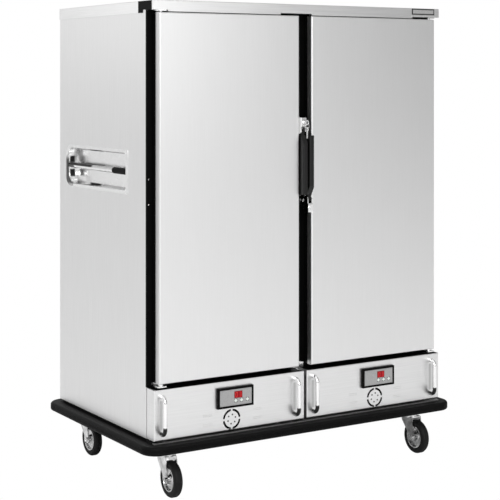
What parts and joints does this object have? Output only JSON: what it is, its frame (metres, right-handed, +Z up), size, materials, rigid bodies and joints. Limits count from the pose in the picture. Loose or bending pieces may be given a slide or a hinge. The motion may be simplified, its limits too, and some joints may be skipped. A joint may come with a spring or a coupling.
{
  "type": "refrigerated banquet cart",
  "caption": "Tall insulated cart with full-height doors on swivel casters, with pull-out cooling units under the doors, a bumper ring and recessed push handles.",
  "frame": {"origin": "on the floor, under the middle of the cart's bounding box", "axes": "+X to the right as seen from the front, +Y towards the back, +Z up; the doors face -Y"},
  "size_m": [1.324, 0.852, 1.706],
  "materials": {
    "brushed_steel": "satin",
    "polished_steel": "gloss",
    "black_rail": "matte",
    "black_plastic": "satin",
    "tyre_rubber": "matte",
    "seal": "matte",
    "foam": "matte",
    "cooling_metal": "satin",
    "button_plastic": "satin",
    "caster_steel": "satin"
  },
  "bodies": {
    "cabinet": {"base_frame": "brushed_steel", "bumper": "black_rail", "caster_plates": "caster_steel", "left_side_panel": "brushed_steel", "right_side_panel": "brushed_steel", "back_panel": "brushed_steel", "top_panel": "brushed_steel", "header_end_caps": "black_plastic", "front_frame": "black_plastic", "left_liner": "brushed_steel", "right_liner": "brushed_steel", "cabinet_insulation": "foam", "tray_runners": "brushed_steel", "left_push_handle": "polished_steel", "right_push_handle": "polished_steel", "front_brackets": "brushed_steel"},
    "left_door": {"left_door_skin": "brushed_steel", "left_door_edge_frame": "black_plastic", "left_door_inner_panel": "brushed_steel", "left_door_gasket": "seal", "left_latch_bracket": "polished_steel"},
    "left_latch": {"left_latch_lever": "black_plastic"},
    "left_unit": {"left_unit_front": "brushed_steel", "left_unit_tray": "brushed_steel", "left_unit_handles": "polished_steel", "left_controller": "black_plastic", "left_cooling_unit": "cooling_metal"},
    "left_fan": {"left_fan_rotor": "black_plastic"},
    "left_button_1": {"left_button_1": "button_plastic"},
    "left_button_2": {"left_button_2": "button_plastic"},
    "left_button_3": {"left_button_3": "button_plastic"},
    "right_door": {"right_door_skin": "brushed_steel", "right_door_edge_frame": "black_plastic", "right_door_inner_panel": "brushed_steel", "right_door_gasket": "seal", "right_latch_bracket": "polished_steel"},
    "right_latch": {"right_latch_lever": "black_plastic"},
    "right_unit": {"right_unit_front": "brushed_steel", "right_unit_tray": "brushed_steel", "right_unit_handles": "polished_steel", "right_controller": "black_plastic", "right_cooling_unit": "cooling_metal"},
    "right_fan": {"right_fan_rotor": "black_plastic"},
    "right_button_1": {"right_button_1": "button_plastic"},
    "right_button_2": {"right_button_2": "button_plastic"},
    "right_button_3": {"right_button_3": "button_plastic"},
    "lock": {"lock_barrel": "polished_steel"},
    "key_ring": {"key_ring": "polished_steel"},
    "front_left_swivel": {"front_left_fork": "caster_steel"},
    "front_left_wheel": {"front_left_wheel_hub": "caster_steel", "front_left_tyre": "tyre_rubber"},
    "front_right_swivel": {"front_right_fork": "caster_steel"},
    "front_right_wheel": {"front_right_wheel_hub": "caster_steel", "front_right_tyre": "tyre_rubber"},
    "rear_left_swivel": {"rear_left_fork": "caster_steel"},
    "rear_left_wheel": {"rear_left_wheel_hub": "caster_steel", "rear_left_tyre": "tyre_rubber"},
    "rear_right_swivel": {"rear_right_fork": "caster_steel"},
    "rear_right_wheel": {"rear_right_wheel_hub": "caster_steel", "rear_right_tyre": "tyre_rubber"}
  },
  "joints": [
    {"name": "door_left_swing", "type": "hinge", "parent": "cabinet", "child": "left_door", "pos_m": [-0.585, -0.366, 1.029], "axis": [0, 0, -1], "range_deg": [0, 120]},
    {"name": "latch_left_pull", "type": "hinge", "parent": "left_door", "child": "left_latch", "pos_m": [-0.01425, -0.38, 1.25], "axis": [-1, 0, 0], "range_deg": [0, 18], "stiffness_Nm_per_rad": 0.6, "springref_deg": -11.46},
    {"name": "drawer_left_slide", "type": "slide", "parent": "cabinet", "child": "left_unit", "axis": [0, -1, 0], "range_m": [0, 0.45]},
    {"name": "rotor_left_spin", "type": "hinge", "parent": "left_unit", "child": "left_fan", "pos_m": [-0.31275, -0.367, 0.245], "axis": [0, 1, 0], "continuous": true},
    {"name": "press_left_button_1", "type": "slide", "parent": "left_unit", "child": "left_button_1", "axis": [0, 1, 0], "range_m": [0, 0.0012], "stiffness_N_per_m": 400},
    {"name": "press_left_button_2", "type": "slide", "parent": "left_unit", "child": "left_button_2", "axis": [0, 1, 0], "range_m": [0, 0.0012], "stiffness_N_per_m": 400},
    {"name": "press_left_button_3", "type": "slide", "parent": "left_unit", "child": "left_button_3", "axis": [0, 1, 0], "range_m": [0, 0.0012], "stiffness_N_per_m": 400},
    {"name": "door_right_swing", "type": "hinge", "parent": "cabinet", "child": "right_door", "pos_m": [0.585, -0.366, 1.029], "axis": [0, 0, 1], "range_deg": [0, 120]},
    {"name": "latch_right_pull", "type": "hinge", "parent": "right_door", "child": "right_latch", "pos_m": [0.01425, -0.38, 1], "axis": [1, 0, 0], "range_deg": [0, 18], "stiffness_Nm_per_rad": 0.6, "springref_deg": -11.46},
    {"name": "drawer_right_slide", "type": "slide", "parent": "cabinet", "child": "right_unit", "axis": [0, -1, 0], "range_m": [0, 0.45]},
    {"name": "rotor_right_spin", "type": "hinge", "parent": "right_unit", "child": "right_fan", "pos_m": [0.31275, -0.367, 0.245], "axis": [0, 1, 0], "continuous": true},
    {"name": "press_right_button_1", "type": "slide", "parent": "right_unit", "child": "right_button_1", "axis": [0, 1, 0], "range_m": [0, 0.0012], "stiffness_N_per_m": 400},
    {"name": "press_right_button_2", "type": "slide", "parent": "right_unit", "child": "right_button_2", "axis": [0, 1, 0], "range_m": [0, 0.0012], "stiffness_N_per_m": 400},
    {"name": "press_right_button_3", "type": "slide", "parent": "right_unit", "child": "right_button_3", "axis": [0, 1, 0], "range_m": [0, 0.0012], "stiffness_N_per_m": 400},
    {"name": "lock_turn", "type": "hinge", "parent": "left_door", "child": "lock", "pos_m": [-0.012, -0.384, 1.279], "axis": [0, -1, 0], "range_deg": [0, 90]},
    {"name": "key_ring_swing", "type": "hinge", "parent": "lock", "child": "key_ring", "pos_m": [-0.012, -0.413, 1.274], "axis": [-1, 0, 0], "range_deg": [0, 70]},
    {"name": "swivel_front_left", "type": "hinge", "parent": "cabinet", "child": "front_left_swivel", "pos_m": [-0.536, -0.315, 0.15], "axis": [0, 0, 1], "continuous": true},
    {"name": "wheel_front_left", "type": "hinge", "parent": "front_left_swivel", "child": "front_left_wheel", "pos_m": [-0.5374, -0.35498, 0.0625], "axis": [0.9994, -0.0349, 0], "continuous": true},
    {"name": "swivel_front_right", "type": "hinge", "parent": "cabinet", "child": "front_right_swivel", "pos_m": [0.536, -0.315, 0.15], "axis": [0, 0, 1], "continuous": true},
    {"name": "wheel_front_right", "type": "hinge", "parent": "front_right_swivel", "child": "front_right_wheel", "pos_m": [0.536, -0.355, 0.0625], "axis": [1, 0, 0], "continuous": true},
    {"name": "swivel_rear_left", "type": "hinge", "parent": "cabinet", "child": "rear_left_swivel", "pos_m": [-0.536, 0.315, 0.15], "axis": [0, 0, 1], "continuous": true},
    {"name": "wheel_rear_left", "type": "hinge", "parent": "rear_left_swivel", "child": "rear_left_wheel", "pos_m": [-0.536, 0.275, 0.0625], "axis": [1, 0, 0], "continuous": true},
    {"name": "swivel_rear_right", "type": "hinge", "parent": "cabinet", "child": "rear_right_swivel", "pos_m": [0.536, 0.315, 0.15], "axis": [0, 0, 1], "continuous": true},
    {"name": "wheel_rear_right", "type": "hinge", "parent": "rear_right_swivel", "child": "rear_right_wheel", "pos_m": [0.52974, 0.27549, 0.0625], "axis": [0.9877, -0.1564, 0], "continuous": true}
  ]
}
